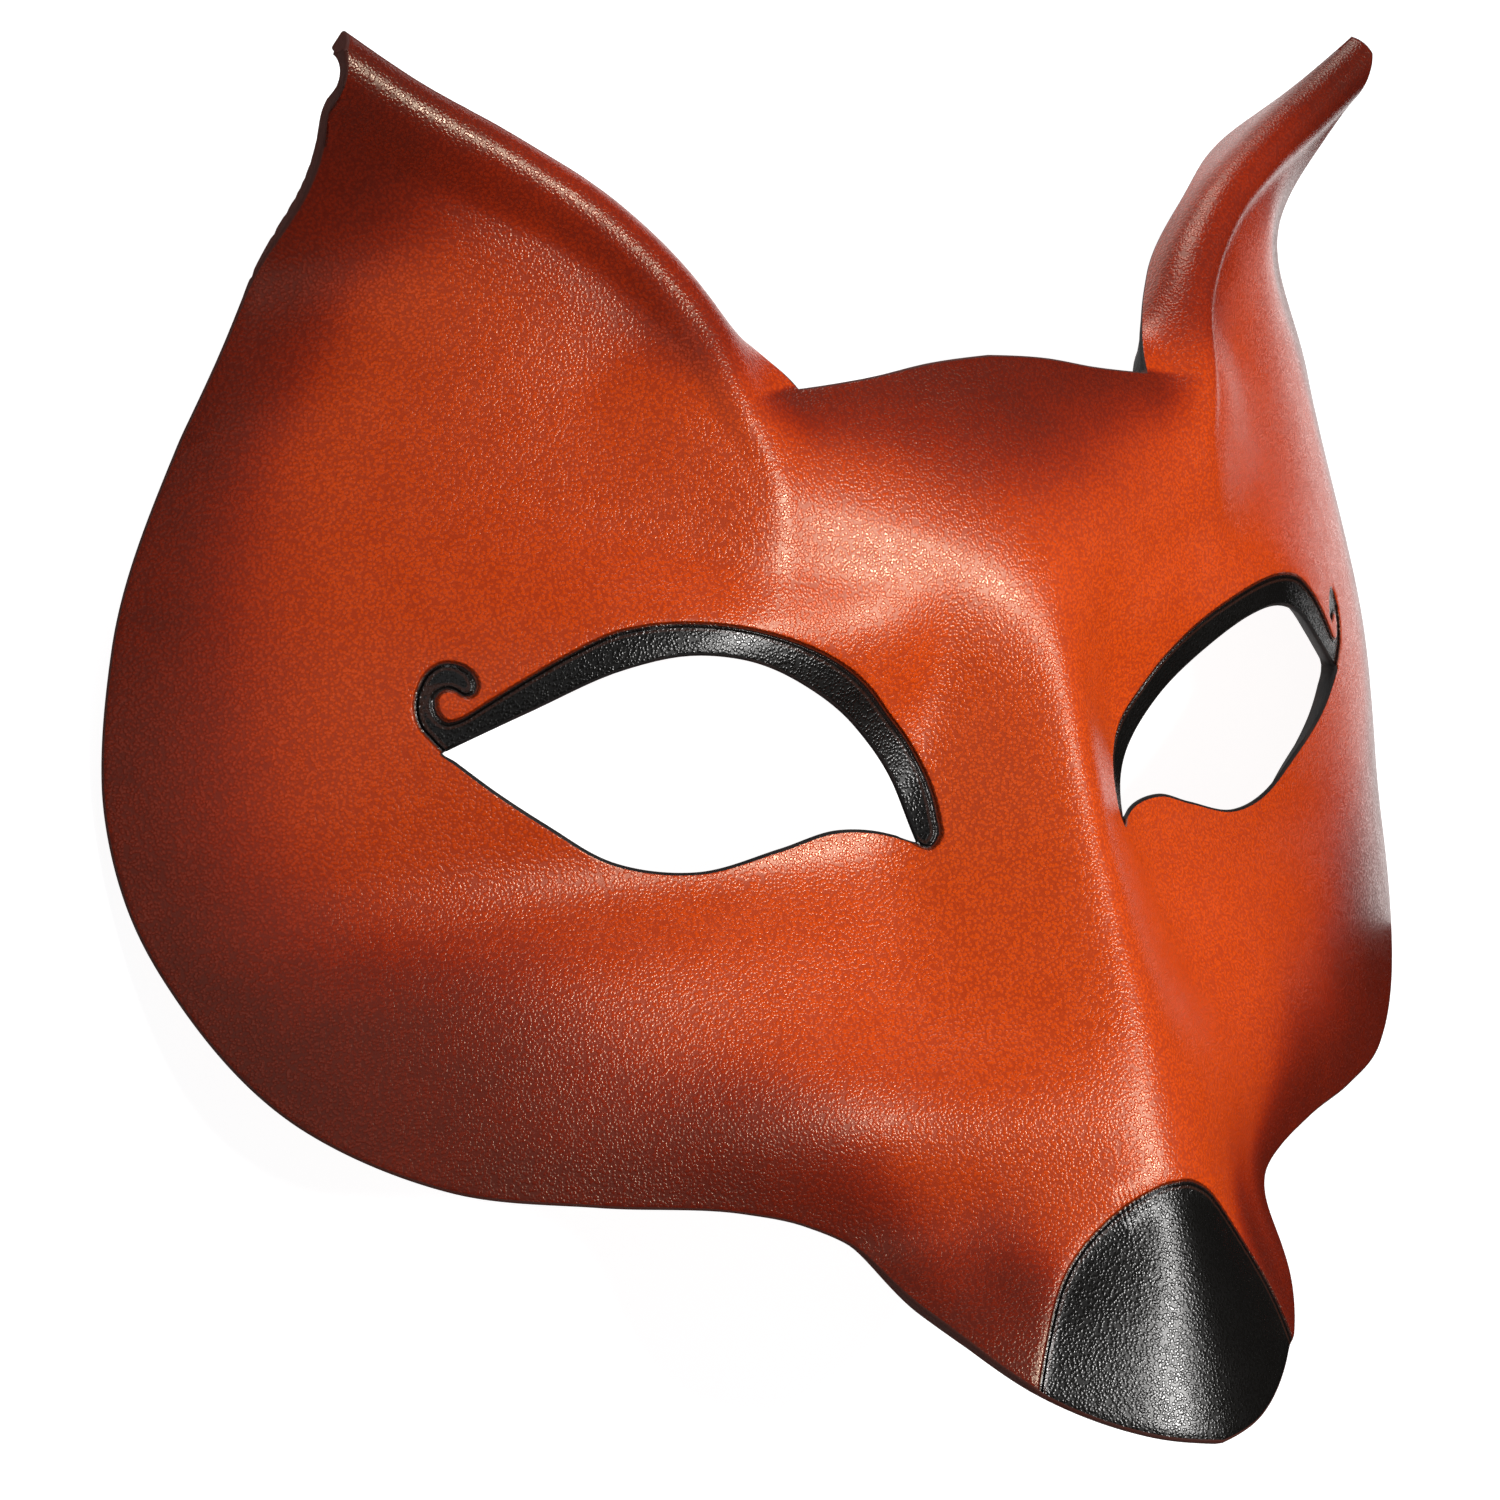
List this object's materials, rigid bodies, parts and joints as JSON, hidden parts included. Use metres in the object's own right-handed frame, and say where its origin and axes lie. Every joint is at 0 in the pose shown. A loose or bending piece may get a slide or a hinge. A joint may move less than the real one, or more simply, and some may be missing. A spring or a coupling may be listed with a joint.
{
  "type": "fox half mask",
  "caption": "Half mask in the shape of a fox's face: a moulded leather shell with pointed ears, almond eye holes and a long black-tipped muzzle.",
  "frame": {"origin": "under the middle of the face, on the surface the mask lies on", "axes": "+X across the face to the mask's left ear, +Y up the face to the ears, +Z out of the front of the face"},
  "size_m": [0.1954, 0.1608, 0.0624],
  "materials": {
    "dyed_leather": "satin, dyed orange shading to burgundy at the rims, black nose and upper eyelids"
  },
  "bodies": {
    "root": {"mask_shell": "dyed_leather"}
  },
  "joints": []
}
